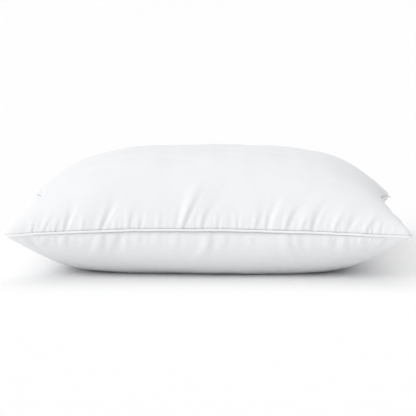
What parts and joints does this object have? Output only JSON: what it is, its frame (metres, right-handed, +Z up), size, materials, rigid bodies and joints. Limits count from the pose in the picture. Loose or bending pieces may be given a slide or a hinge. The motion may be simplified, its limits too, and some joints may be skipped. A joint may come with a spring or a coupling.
{
  "type": "bed pillow",
  "caption": "Plump rectangular bed pillow with a corded edge seam: two woven panels closed round loose fibre, pulled in between its corners, resting on its lower face.",
  "frame": {"origin": "centre of the flat patch on the lower face that the pillow rests on", "axes": "+Z up, +X along the long side, +Y along the short side, towards the side with the closing seam and the label"},
  "size_m": [0.6484, 0.495, 0.1862],
  "materials": {
    "ticking": "fine white cotton percale, matt with a faint sheen",
    "piping": "white cotton bias strip, matt",
    "cord": "undyed twisted cotton filler cord",
    "thread": "white spun polyester sewing thread",
    "fibre": "loose crimped polyester fibre",
    "label": "plain white woven satin tape, blank"
  },
  "bodies": {
    "root": {"top_panel": "ticking", "bottom_panel": "ticking", "piping_cover": "piping", "piping_cord": "cord", "needle_thread": "thread", "bobbin_thread": "thread", "overlock_thread": "thread", "closing_thread": "thread", "fibre_fill": "fibre", "care_label": "label"}
  },
  "joints": []
}
